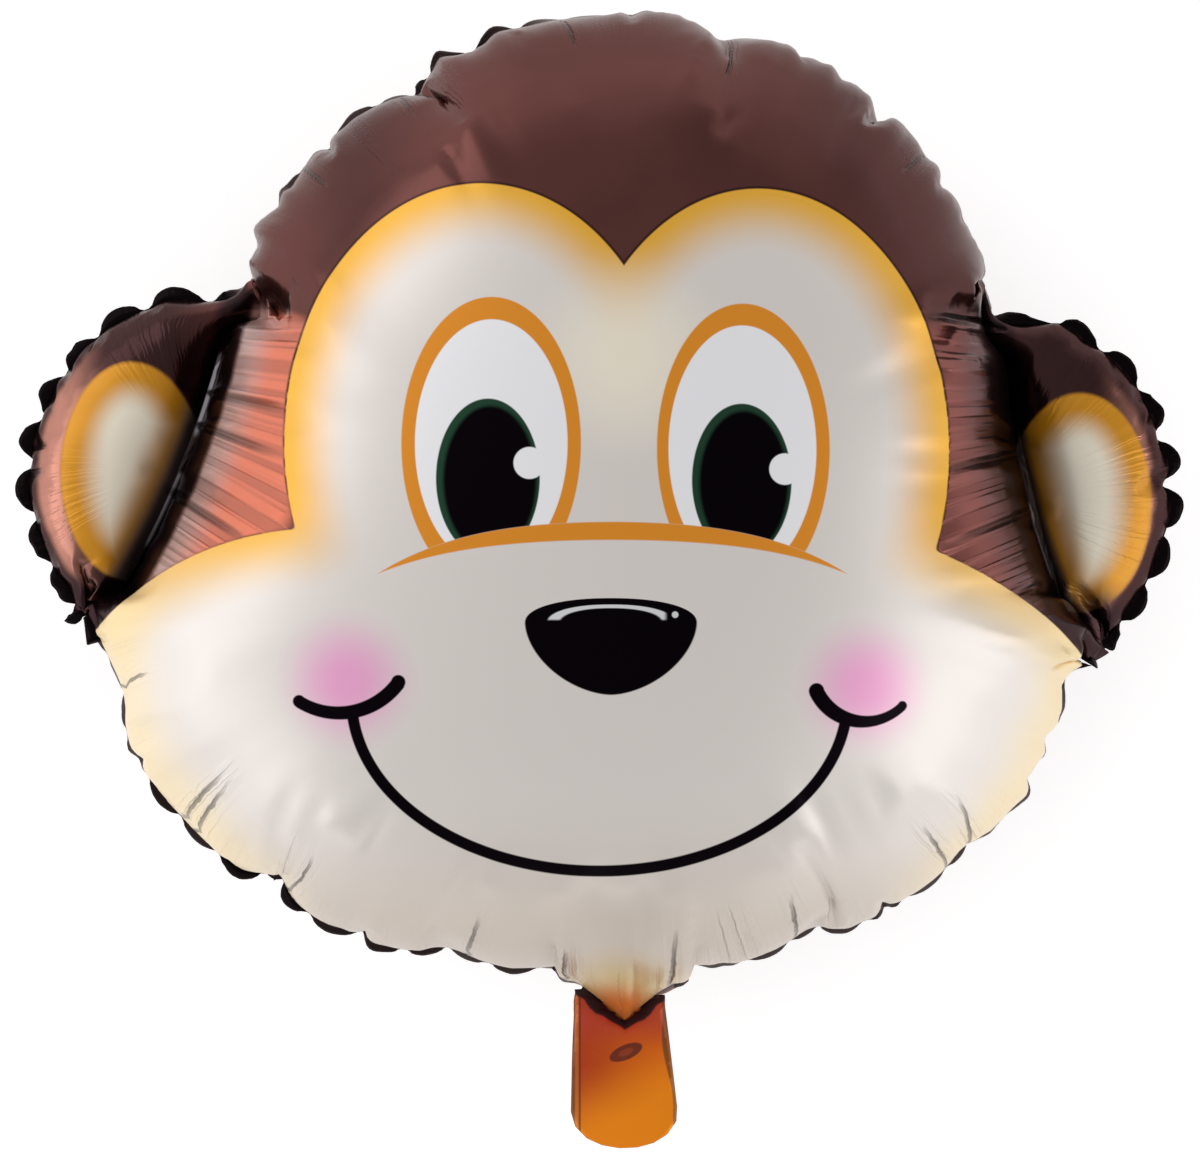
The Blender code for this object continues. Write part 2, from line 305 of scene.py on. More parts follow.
def fill(frames, bending, quality):
    """Blows the bag up from where its vertices are, with the flat blank as its rest shape."""
    bag.verts.index_update()
    mesh = bpy.data.meshes.new("filling")
    bag.to_mesh(mesh)
    mesh.transform(((SIM_SCALE, 0, 0, 0), (0, SIM_SCALE, 0, 0), (0, 0, SIM_SCALE, 0), (0, 0, 0, 1)))
    blank = placed("filling", mesh)
    blank.shape_key_add(name="Basis")
    rest_key = blank.shape_key_add(name="flat")
    rest_key.data.foreach_set("co", (flat_places(bag) * SIM_SCALE).astype(np.float32).ravel())
    rest_key.value = 0.0
    gas = blank.vertex_groups.new(name="gas")
    gas.add(sorted(verts_on(FRONT, BACK)), 1.0, "REPLACE")
    cloth = blank.modifiers.new("film", "CLOTH")
    film = cloth.settings
    film.quality = quality
    film.mass = 0.1
    film.air_damping = 1.0
    film.bending_model = "ANGULAR"
    film.bending_stiffness = bending
    film.bending_damping = 0.5
    for strain in ("tension", "compression", "shear"):
        setattr(film, strain + "_stiffness", FILM_STIFFNESS)
        setattr(film, strain + "_damping", FILM_DAMPING)
    film.use_pressure = True
    film.uniform_pressure_force = GAS_PRESSURE
    film.vertex_group_pressure = "gas"
    film.rest_shape_key = rest_key
    film.effector_weights.gravity = 0.0
    cloth.collision_settings.use_collision = False
    cloth.collision_settings.use_self_collision = False
    cloth.point_cache.frame_start = 1
    cloth.point_cache.frame_end = frames + 2
    scene = bpy.context.scene
    scene.frame_start = 1
    scene.frame_end = frames + 2
    for step in range(1, frames + 1):
        scene.frame_set(step)
    filled = blank.evaluated_get(bpy.context.evaluated_depsgraph_get()).to_mesh()
    for vert, done in zip(bag.verts, filled.vertices):
        vert.co = done.co / SIM_SCALE
    bpy.data.objects.remove(blank)
    scene.frame_set(1)


bag.verts.ensure_lookup_table()
flat_now = flat_places(bag)
way, depth = ways_and_depths(flat_now[:, :2])
rail_gap = distances(rail_finder, flat_now[:, :2])
pull = np.zeros(len(flat_now))
for degrees, size in CREASES.values():
    off = np.radians(turn_to(bearings_of(flat_now), degrees)) * reaches_of(flat_now)
    pull = np.maximum(pull, size * np.exp(-(off / CREASE_REACH) ** 2) * np.exp(-(depth / CREASE_DEPTH) ** 2))
outward = flat_now[:, :2] / np.maximum(reaches_of(flat_now), 1e-6)[:, None]
front_verts, back_verts = verts_on(FRONT), verts_on(BACK)
for index, vert in enumerate(bag.verts):
    raised = (index in front_verts) - (index in back_verts)
    lift = raised * (0.3 * edge + START_BULGE * rail_gap[index])
    pulled = flat_now[index, :2] - outward[index] * pull[index]
    vert.co = (pulled[0], pulled[1], lift)

fill(frames=45, bending=0.05, quality=6)
bag.verts.ensure_lookup_table()
near = depth < REFINE_WITHIN
near |= distances(weld_finder, flat_now[:, :2]) < REFINE_WITHIN
closer = [e for e in bag.edges if near[e.verts[0].index] and near[e.verts[1].index]]
bmesh.ops.subdivide_edges(bag, edges=closer, cuts=1, use_grid_fill=True)
bmesh.ops.triangulate(bag, faces=[face for face in bag.faces if len(face.verts) > 3])
fill(frames=14, bending=0.01, quality=8)

# one finer mesh over the whole bag, its film eased into a curve between the welds
bmesh.ops.subdivide_edges(bag, edges=bag.edges[:], cuts=1, use_grid_fill=True)
film_verts = [v for v in bag.verts if all(face[side_layer] != BOTH for face in v.link_faces)]
bmesh.ops.smooth_vert(bag, verts=film_verts, factor=0.5, use_axis_x=True, use_axis_y=True, use_axis_z=True)

# Settling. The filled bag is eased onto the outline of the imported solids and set
# level on its back, with the film that would reach below the floor laid flat on it.
SEAM_LEVEL = 0.1445
CHIN_SEAM_Y = -0.2357
CHIN_TIP = (0.0125, 0.0180, 0.0250)
NECK_END_Y = -0.3190
CHIN_LEVEL = 0.2345
RIM_WITHIN = 0.0020
FINE_WINDOW = 1.6
BROAD_WINDOW = 3.0
LARGEST_DRIFT = 0.012
FLOOR_GAP = 0.0003
bag.verts.ensure_lookup_table()
place = np.array([list(vert.co) for vert in bag.verts])
flat_now = flat_places(bag)
way, depth = ways_and_depths(flat_now[:, :2])
touches = [{face[side_layer] for face in vert.link_faces} for vert in bag.verts]
on_rim = np.array([BOTH in sides and FRONT in sides for sides in touches]) & (abs(depth) < RIM_WITHIN)
in_margin = np.array([sides == {BOTH} for sides in touches]) & (depth < RIM_WITHIN)

solid_points = np.array([list(v.co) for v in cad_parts["front_foil"].data.vertices])
bearings = np.arange(0, 360, 1.0)
compass = np.column_stack([np.cos(np.radians(bearings)), np.sin(np.radians(bearings))])


def reach_round(places, width):
    """The far reach of some places in each direction, over a window of so many degrees."""
    bearing, reach = bearings_of(places), reaches_of(places)
    return np.array([reach[abs(turn_to(bearing, wanted)) < width].max() for wanted in bearings])


# the solids' outline, with the chin's level in the place of the neck
solid_round = reach_round(solid_points, FINE_WINDOW)
at_neck = (bearings > 260) & (bearings < 284)
solid_round[at_neck] = CHIN_LEVEL / np.abs(compass[at_neck, 1])

# how far the margin stands out in plan, round the shape: open on the ears, turned
# back behind the bag elsewhere
MARGIN_OPEN = {
    0: 0.95, 25: 0.90, 30: 0.22, 50: 0.30, 60: 0.20, 75: 0.10, 95: 0.20, 106: 0.80, 132: 0.75,
    137: 0.15, 146: 0.12, 149: 0.90, 165: 0.95, 192: 0.95, 197: 0.40, 205: 0.65, 235: 0.60,
    255: 0.75, 263: 0.80, 278: 0.60, 292: 0.40, 325: 0.30, 338: 0.45, 345: 0.95,
}
CROWN_RISE = 0.0030
ROOT_BEARINGS = (30, 147, 195, 342)
open_round = np.interp(bearings, list(MARGIN_OPEN), list(MARGIN_OPEN.values()), period=360)
aim_round = solid_round - open_round * MARGIN * 0.9
by_ear_root = np.zeros(len(bearings), bool)
for degrees in ROOT_BEARINGS:
    by_ear_root |= abs(bearings - degrees) < 8
aim_round += CROWN_RISE * np.interp(bearings, (44, 62, 104, 113), (0, 1, 1, 0))
for _ in range(3):
    rim_round = np.where(by_ear_root, reach_round(place[on_rim], FINE_WINDOW),
                         reach_round(place[on_rim], BROAD_WINDOW))
    off = np.clip(rim_round - aim_round, -LARGEST_DRIFT, LARGEST_DRIFT)
    place[:, :2] -= np.linalg.lstsq(compass, off, rcond=None)[0]
place[:, 2] -= place[on_rim, 2].mean()
rim_here, wanted_here = [
    np.interp(bearings_of(place), bearings,
              np.convolve(np.tile(reach, 3), np.ones(3) / 3, "same")[360:720], period=360)
    for reach in (rim_round, aim_round)]


def eased(share):
    """A share held between 0 and 1 that leaves the one and comes to the other gently."""
    share = np.clip(share, 0, 1)
    return share * share * (3 - 2 * share)


share = eased((reaches_of(place) / rim_here - 0.5) / 0.5)
place[:, :2] *= (1 + (wanted_here / rim_here - 1) * share)[:, None]

# the margin: a narrow welded strip that keeps on from the rim, pinched between beads
BEAD_PITCH = 0.0295
bead_count = round(rim_length / BEAD_PITCH)


def softened(loop):
    """A closed row of places, each drawn towards its two neighbours."""
    return (np.roll(loop, 1, axis=0) + 2 * loop + np.roll(loop, -1, axis=0)) / 4


order = np.flatnonzero(on_rim)
order = order[np.argsort(way[order])]
place[order] = softened(place[order])
rim_ways = way[order]
rim_angles = bearings_of(place[order])


def way_at(degrees):
    """Way along the rim to where it lies in one direction from the middle."""
    return float(rim_ways[np.argmin(abs(turn_to(rim_angles, degrees)))])


def gap_from(directions):
    """Way along the rim from each vertex to the nearest of some directions from the middle."""
    nearest_gap = np.full(len(place), 1.0)
    for degrees in directions:
        gap = abs((way - way_at(degrees) + rim_length / 2) % rim_length - rim_length / 2)
        nearest_gap = np.minimum(nearest_gap, gap)
    return nearest_gap


# the film's folds at the creases and the chin, opened out to shallow dents, and the
# puckers at the upper end of each ear's root, opened out a little
EAR_CORNERS = (147.1, 29.4)
CHIN_FOLDS = (265.0, 271.0, 277.0)
OPEN_STEPS = {"folds": 110, "corners": 36}
OPEN_DEPTH = 0.022
LEVEL_STEPS = 70
loop_way = np.concatenate([rim_ways - rim_length, rim_ways, rim_ways + rim_length])
calm = place[order]
for step in range(1, OPEN_STEPS["folds"] + 1):
    calm = softened(calm)
    if step == OPEN_STEPS["corners"]:
        corner_opening = np.tile(calm - place[order], (3, 1))
opening = np.tile(calm - place[order], (3, 1))
by_rim = np.exp(-(depth / OPEN_DEPTH) ** 2)
from_fold = gap_from([degrees for degrees, _ in CREASES.values()] + list(CHIN_FOLDS))
by_fold = np.clip((0.050 - from_fold) / 0.028, 0, 1) * by_rim
from_corner = gap_from(EAR_CORNERS)
at_corner = np.clip((0.034 - from_corner) / 0.016, 0, 1) * by_rim * (by_fold == 0)
for axis in (0, 1, 2):
    place[:, axis] += np.interp(way, loop_way, opening[:, axis]) * by_fold
    place[:, axis] += np.interp(way, loop_way, corner_opening[:, axis]) * at_corner

# the film beside each crease and over the ears' roots, drawn smooth to a shallow dent
bag.verts.index_update()
slack = np.clip((0.030 - from_fold) / 0.014, 0, 1) * np.clip((0.110 - depth) / 0.040, 0, 1)
by_corner = np.clip((0.034 - from_corner) / 0.012, 0, 1) * np.clip((0.080 - depth) / 0.030, 0, 1)
slack = np.maximum(slack, by_corner)
slack[[BOTH in sides for sides in touches]] = 0
links = np.array([[e.verts[0].index, e.verts[1].index] for e in bag.edges])
links = links[(slack[links] > 0).any(axis=1)]
ends, others = np.concatenate([links, links[:, ::-1]]).T
shared_by = np.maximum(np.bincount(ends, minlength=len(place)), 1)
for _ in range(LEVEL_STEPS):
    for axis in (0, 1, 2):
        level = np.bincount(ends, weights=place[others, axis], minlength=len(place)) / shared_by
        place[:, axis] += (level - place[:, axis]) * 0.5 * slack

# the chin runs down into the neck as a short pointed tongue of film
by_neck = order[abs(flat_now[order, 0] - NECK_X) < 0.03]
by_neck = by_neck[flat_now[by_neck, 1] < 0]
by_neck = by_neck[np.argsort(place[by_neck, 0])]
tip_x, tip_drop, tip_half = CHIN_TIP


def chin_line(x):
    """How far down the chin's weld reaches, across the neck."""
    return CHIN_SEAM_Y - tip_drop * np.maximum(0, 1 - abs(x - tip_x) / tip_half)


eased_line = np.interp(place[:, 0], place[by_neck, 0], place[by_neck, 1])
by_tip = np.clip(1 - abs(place[:, 0] - tip_x) / 0.034, 0, 1) ** 0.2
chin_shift = (chin_line(place[:, 0]) - eased_line) * by_tip
chin_share = 1 - eased((place[:, 1] - eased_line) / 0.040)
in_chin = (place[:, 1] < -0.15) & (abs(place[:, 0] - tip_x) < 0.034)
place[in_chin, 1] += (chin_shift * chin_share)[in_chin]

# the margin's beads, laid out from the rim as it now runs, and the neck under the chin
ring = place[order]
loop_place = np.tile(ring, (3, 1))
smooth_steps = 6
kernel = np.ones(2 * smooth_steps + 1) / (2 * smooth_steps + 1)
longer_ring = np.vstack([ring[-smooth_steps:], ring, ring[:smooth_steps]])
smooth_ring = np.column_stack([np.convolve(longer_ring[:, a], kernel, "valid") for a in range(3)])
out_ring = outward_of(smooth_ring)
neck_weld = flat_now[by_neck][np.argsort(flat_now[by_neck, 0])]
neck_cut = flat_now[in_margin & (abs(flat_now[:, 0] - NECK_X) < 0.01)][:, 1].min()
for index in np.flatnonzero(in_margin):
    w = way[index]
    base = np.array([np.interp(w, loop_way, loop_place[:, a]) for a in range(3)])
    out = np.array([np.interp(w, loop_way, np.tile(out_ring[:, a], 3)) for a in range(2)])
    out /= np.linalg.norm(out)
    angle = math.degrees(math.atan2(base[1], base[0])) % 360
    bead = w / rim_length * bead_count
    number = math.floor(bead)
    turn = bead - number
    swell = math.sin(math.pi * min(max((turn - 0.09) / 0.82, 0), 1)) ** 0.6
    habit = 0.75 + 0.35 * math.sin(12.9898 * number) + 0.15 * math.sin(78.233 * number)
    opened = float(np.interp(angle, bearings, open_round, period=360))
    if opened < 0.88:
        opened *= habit
    opened = min(opened, 0.97)
    reach = max(-depth[index], 0.0) * (0.06 + 0.94 * swell)
    drop = math.sqrt(1 - opened ** 2)
    spot = np.array([
        base[0] + out[0] * reach * opened,
        base[1] + out[1] * reach * opened,
        base[2] - reach * drop + 0.0012 * swell * (opened > 0.7)])
    x = flat_now[index, 0]
    weld_y = float(np.interp(x, neck_weld[:, 0], neck_weld[:, 1]))
    lean = min(max((weld_y - flat_now[index, 1]) / (NECK_LENGTH - NECK_END_ROUND - 0.003), 0), 1)
    neck_half = NECK_ROOT_HALF + (NECK_END_HALF - NECK_ROOT_HALF) * lean
    off_neck = (abs(x - NECK_X - NECK_LEAN * lean) - neck_half) / 0.004
    if off_neck < 1 and flat_now[index, 1] < 0:
        down = min(max((weld_y - flat_now[index, 1]) / (weld_y - neck_cut), 0), 1)
        top_y = float(chin_line(x))
        neck_spot = np.array([x, top_y + (NECK_END_Y - top_y) * down, 0.0])
        share = eased(1 - off_neck)
        spot = spot * (1 - share) + neck_spot * share
    place[index] = spot
place[:, 2] += SEAM_LEVEL
place[:, 2] = np.maximum(place[:, 2], FLOOR_GAP)
for vert, spot in zip(bag.verts, place):
    vert.co = spot

# The front sheet. It is metallised film with the face, the brown head and the ears
# printed on it in thin inks, so the metal behind them shines through a little.
NECK_MIDDLE = 0.0118
NECK_PUFF = 0.0030
FILM_THICKNESS = 0.00015


def sheet_from_bag(name, wanted_sides, turn_over, material):
    """One sheet of film, taken off the filled bag, with its own thickness."""
    sheet = bag.copy()
    layer = sheet.faces.layers.int["side"]
    gone = [face for face in sheet.faces if face[layer] not in wanted_sides]
    bmesh.ops.delete(sheet, geom=gone, context="FACES")
    rim_map = sheet.loops.layers.uv.new("rim")
    sheet.verts.index_update()
    ways, depths = ways_and_depths(flat_places(sheet)[:, :2])
    for face in sheet.faces:
        face.smooth = True
        face_ways = [ways[vert.index] for vert in face.verts]
        wraps = max(face_ways) - min(face_ways) > rim_length / 2
        for loop in face.loops:
            along_rim = ways[loop.vert.index]
            if wraps and along_rim < rim_length / 2:
                along_rim += rim_length
            loop[rim_map].uv = (along_rim, depths[loop.vert.index])
    for e in sheet.edges:
        kinds = {face[layer] == BOTH for face in e.link_faces}
        e.smooth = len(kinds) < 2

    # the neck's two films stand a little apart along its middle
    for vert in sheet.verts:
        across = abs(vert.co.x - NECK_MIDDLE) / NECK_ROOT_HALF
        if vert.co.y < CHIN_SEAM_Y and across < 1 and all(f[layer] == BOTH for f in vert.link_faces):
            ends = min((vert.co.y - NECK_END_Y) / 0.02, -depths[vert.index] / 0.008, 1)
            puff = NECK_PUFF * (1 - across ** 2) * max(ends, 0)
            vert.co.z += -puff if turn_over else puff
    if turn_over:
        bmesh.ops.reverse_faces(sheet, faces=[face for face in sheet.faces if face[layer] == BOTH])
    mesh = bpy.data.meshes.new(name)
    sheet.to_mesh(mesh)
    sheet.free()
    mesh.materials.append(material)
    piece = placed(name, mesh)
    wall = piece.modifiers.new("film", "SOLIDIFY")
    wall.thickness = FILM_THICKNESS
    wall.offset = 1.0
    return piece


def ink(red, green, blue):
    """A printed colour, or a colour painted as shade or light, as a screen shows it, turned to the light it
    gives back.
    """
    shades = [value / 255 for value in (red, green, blue)]
    light = [v / 12.92 if v < 0.04045 else ((v + 0.055) / 1.055) ** 2.4 for v in shades]
    return (*light, 1.0)


class Nodes:
    """The nodes of one material or of the light, each fed as it is added."""

    def __init__(self, tree):
        self.tree = tree

    def feed(self, socket, value):
        if isinstance(value, bpy.types.NodeSocket):
            self.tree.links.new(value, socket)
        else:
            socket.default_value = value

    def add(self, kind, *values, **settings):
        """One node with its settings, and its sockets fed in their order."""
        node = self.tree.nodes.new(kind)
        for name, setting in settings.items():
            setattr(node, name, setting)
        for socket, value in zip(node.inputs, values):
            self.feed(socket, value)
        return node

    def calc(self, operation, *values):
        return self.add("ShaderNodeMath", *values, operation=operation).outputs[0]

    def split(self, arrow):
        """The parts of a place, one by one."""
        return self.add("ShaderNodeSeparateXYZ", arrow).outputs

    def blend(self, share, under, over):
        node = self.add("ShaderNodeMix", share, data_type="RGBA")
        self.feed(node.inputs[6], under)
        self.feed(node.inputs[7], over)
        return node.outputs[2]

    def noise(self, socket, place, scale, detail, dimensions="3D"):
        node = self.add("ShaderNodeTexNoise", noise_dimensions=dimensions)
        for name, value in ((socket, place), ("Scale", scale), ("Detail", detail)):
            self.feed(node.inputs[name], value)
        return node.outputs["Fac"]


class Film(Nodes):
    """The nodes of one printed film, added in the order in which the inks go on."""

    def __init__(self, name):
        self.material = bpy.data.materials.new(name)
        self.material.use_nodes = True
        super().__init__(self.material.node_tree)
        self.shader = self.tree.nodes["Principled BSDF"]
        self.here = self.add("ShaderNodeTexCoord").outputs["Object"]
        self.x, self.y = self.split(self.here)[:2]
        self.way, self.depth = self.split(self.add("ShaderNodeUVMap", uv_map="rim").outputs[0])[:2]

    def chain(self, operation, values):
        """One operation over some values, two at a time."""
        result = values[0]
        for value in values[1:]:
            result = self.calc(operation, result, value)
        return result

    def times(self, *values):
        return self.chain("MULTIPLY", values)

    def most(self, *values):
        return self.chain("MAXIMUM", values)

    def least(self, *values):
        return self.chain("MINIMUM", values)

    def minus(self, value, less):
        return self.calc("SUBTRACT", value, less)

    def gap(self, value, other):
        return self.calc("ABSOLUTE", self.minus(value, other))

    def arrow(self, operation, *values):
        node = self.add("ShaderNodeVectorMath", *values, operation=operation)
        return node.outputs["Value"] if operation in ("LENGTH", "DOT_PRODUCT") else node.outputs[0]

    def fade(self, value, start, end, low=0.0, high=1.0):
        values = value, start, end, low, high
        return self.add("ShaderNodeMapRange", *values, interpolation_type="SMOOTHSTEP").outputs[0]

    def tint(self, under, over, value, start, end, share=1.0):
        """One ink, or painted shade or light, laid over another, more and more as a value goes from start to
        end.
        """
        return self.blend(self.fade(value, start, end, 0.0, share), under, over)

    def lay(self, share, over):
        """One more ink, or painted shade or light, over all that the film shows so far."""
        self.colour = self.blend(share, self.colour, over)

    def lay_black(self, outline):
        """Black ink inside an outline, laid straight on the metal."""
        self.lay(self.inside(outline), BLACK)
        self.black = self.most(self.black, self.inside(outline))

    def away(self, x, y):
        """The way from one place to here, seen from above."""
        return self.arrow("SUBTRACT", self.arrow("MULTIPLY", self.here, (1.0, 1.0, 0.0)), (x, y, 0.0))

    def oval(self, x, y, half_width, half_height):
        """Distance outside an oval, negative inside it."""
        away = self.away(x, y)
        scaled = self.arrow("LENGTH", self.arrow("DIVIDE", away, (half_width, half_height, 1.0)))
        twice = self.arrow("DIVIDE", away, (half_width ** 2, half_height ** 2, 1.0))
        slope = self.arrow("LENGTH", twice)
        above = self.times(scaled, self.minus(scaled, 1.0))
        return self.calc("DIVIDE", above, self.most(slope, 0.001))

    def reach(self, x, y):
        return self.arrow("LENGTH", self.away(x, y))

    def dot(self, x, y, radius):
        """Distance outside a round spot, negative inside it."""
        return self.minus(self.reach(x, y), radius)

    def inside(self, distance, soft=0.0004):
        return self.fade(distance, soft, -soft)

    def ripples(self, across, scale, detail=1.5):
        """Irregular ridges side by side, from a distance measured across them."""
        return self.noise("W", across, scale, detail, "1D")

    def mottled_brown(self):
        """The head's brown ink, thinner in patches, and how these patches lie."""
        mottle = self.noise("Vector", self.here, 9.0, 3.0)
        return self.tint(BROWN, THIN_BROWN, mottle, 0.35, 0.65), mottle

    def inward(self):
        """How far in from the rim, counted slower close to it."""
        return self.calc("DIVIDE", self.times(self.depth, self.depth), INWARD_FROM)

    def finish(self, looks, height):
        """Feeds the shader, with the pleats and creases raised a little and a clear coat."""
        relief = self.add("ShaderNodeBump")
        relief.inputs["Strength"].default_value = 1.0
        relief.inputs["Distance"].default_value = PLEAT_RELIEF
        self.feed(relief.inputs["Height"], height)
        looks = {**looks, "Base Color": self.colour, "Normal": relief.outputs[0], "Coat Roughness": 0.20}
        for name, value in looks.items():
            self.feed(self.shader.inputs[name], value)


BROWN = ink(100, 60, 56)
THIN_BROWN = ink(90, 54, 50)
SHADE_BROWN = ink(50, 32, 34)
DARK_BROWN = ink(38, 22, 24)
MARGIN_SHADE_BLACK = ink(12, 6, 8)
FACE_WHITE = ink(230, 223, 218)
LOW_MUZZLE_SHADE = ink(182, 168, 152)
BAND_ORANGE = ink(238, 178, 58)
CREAM = ink(232, 208, 162)
SIDE_CREAM = ink(246, 222, 168)
LINE_ORANGE = ink(232, 146, 36)
EYE_WHITE = ink(250, 250, 253)
BLACK = ink(8, 2, 8)
PUPIL_GREEN = ink(42, 76, 58)
BLUSH = ink(244, 160, 212)
EAR_GOLD = ink(214, 146, 30)
EAR_WHITE = ink(255, 246, 226)
CREASE_SHADE = ink(46, 34, 32)
PLEAT_RELIEF = 0.0022
INWARD_FROM = 0.300
MASK_LOBES = ((-0.0604, 0.0428, 0.0974, 0.1274), (0.0798, 0.0378, 0.0949, 0.1299))
MASK_MUZZLE = (-0.0041, -0.1180, 0.2700, 0.1362)
MASK_LEFT_CHEEK = (-0.1409, -0.1618, 0.1600)
EYES = {
    "left": {"outer": (-0.0540, 0.0403, 0.0445, 0.0726), "inner": (-0.0539, 0.0403, 0.0378, 0.0614),
             "pupil": (-0.0555, 0.0230, 0.0257, 0.0393), "shine": (-0.0349, 0.0304, 0.0079)},
    "right": {"outer": (0.0709, 0.0373, 0.0429, 0.0723), "inner": (0.0704, 0.0373, 0.0367, 0.0614),
              "pupil": (0.0700, 0.0218, 0.0247, 0.0380), "shine": (0.0914, 0.0275, 0.0078)},
}
BROW = {"x": 0.0061, "half": 0.1166, "top": (0.0013, -0.0148, -0.0109),
        "bottom": (-0.0076, -0.0099, -0.0069)}
NOSE = {"x": 0.0053, "y": -0.0486, "half": 0.0425, "up": 0.0123, "down": 0.0356,
        "power_down": 1.75, "power_up": 2.2, "shine": (0.0370, -0.0445, 0.0016)}
MOUTH = (-0.0003, -0.0870, 0.1232, 0.0857)
SMILE_WIDTH = 0.0029
SMILE_TOP = -0.0945
CHEEK_LINES = {
    "left": {"centre": (-0.1303, -0.0557), "radius": 0.0378, "halves": (0.0032, 0.0036),
             "ends": ((-0.1500, -0.0878), (-0.1001, -0.0780))},
    "right": {"centre": (0.1318, -0.0707), "radius": 0.0272, "halves": (0.0039, 0.0024),
              "ends": ((0.1074, -0.0824), (0.1507, -0.0900))},
}
SOFT_SPOTS = (
    (-0.1255, -0.0775, 0.0400, 0.85, BLUSH), (0.1315, -0.0800, 0.0390, 0.85, BLUSH),
    (0.0130, 0.0830, 0.0600, 0.80, ink(255, 246, 224)))
# the by_fold and by_face colours are painted reflection on the strip beside each ear's root, shade is how
# far painted shade reaches into its print, and the runs give where the weld's painted highlight lies
EARS = {
    "left": {"print": (-0.2395, 0.0280, 0.0365, 0.0560), "shade": 0.014,
             "root": ((-0.188, 0.121), (-0.262, -0.058)), "bow": 0.0105, "head": 1,
             "by_fold": ink(188, 154, 148), "by_face": ink(226, 122, 92), "matt": 0.85,
             "highlight_runs": ((0.030, 0.078), (0.095, 0.140)), "creases": (0.0530, 0.0704, 0.1073)},
    "right": {"print": (0.2450, 0.0120, 0.0370, 0.0560), "shade": 0.009,
              "root": ((0.206, 0.111), (0.246, -0.060)), "bow": 0.0100, "head": -1,
              "by_fold": ink(100, 76, 78), "by_face": ink(132, 80, 74), "matt": 0.0,
              "highlight_runs": ((0.098, 0.142),), "creases": (0.0090, 0.0733, 0.1030)},
}
ROOT_CORNER_SHADES = ((-0.1835, 0.1165), (0.1985, 0.1100))
CHIN_GLOW = (0.0095, -0.2520)
NECK_TOP = (-0.2340, -0.2352)
NECK_LEFT = -0.0143
NECK_WELD = 0.0038
SLOT = {"middle": (0.0132, -0.2695), "long_way": (0.92, 0.39), "halves": (0.0090, 0.0038)}
SHARP_CREASES = {
    "short": {"reach": 0.015, "at": (
        (94.2, -0.3), (129.5, 0.0), (49.1, 0.1), (264.9, 0.15), (198.5, 0.0), (115.0, -0.2))},
    "long": {"reach": 0.027, "at": (
        (76.6, 0.0), (214.8, -0.15), (228.1, -0.25), (251.8, 0.0),
        (278.8, 0.15), (296.0, 0.35), (316.5, 0.26), (319.0, 0.4), (216.6, -0.3))},
}
PLEATED = (
    (288.0, 0.018), (110.3, 0.009), (121.2, 0.010), (214.3, 0.012), (317.5, 0.012), (227.2, 0.008))
film = Film("printed front film")
fade, tint, blend, inside = film.fade, film.tint, film.blend, film.inside
calc, times, minus, gap = film.calc, film.times, film.minus, film.gap
most, least, lay, lay_black = film.most, film.least, film.lay, film.lay_black
brown = film.mottled_brown()[0]

# painted shade: the sides of the crown and the tops of the ears are painted a darker brown
from_middle = calc("ABSOLUTE", film.x)
side_shade = times(fade(from_middle, 0.070, 0.130), fade(film.depth, 0.134, 0.095),
                fade(film.x, -0.165, -0.115, 0.0, 0.55))
side_shade = most(side_shade, fade(from_middle, 0.190, 0.222, 0.0, 0.80))
film.colour, film.black = blend(side_shade, brown, SHADE_BROWN), 0.0

# the face's outline: two round lobes over the eyes that run into a wide muzzle
lobes = [film.oval(*lobe) for lobe in MASK_LOBES]
muzzle = least(film.oval(*MASK_MUZZLE), film.dot(*MASK_LEFT_CHEEK))
mask = calc("SMOOTH_MIN", least(*lobes), muzzle, 0.004)
off_face = fade(mask, -0.0004, 0.0010)
pale = pleat_height = crease_depth = 0.0

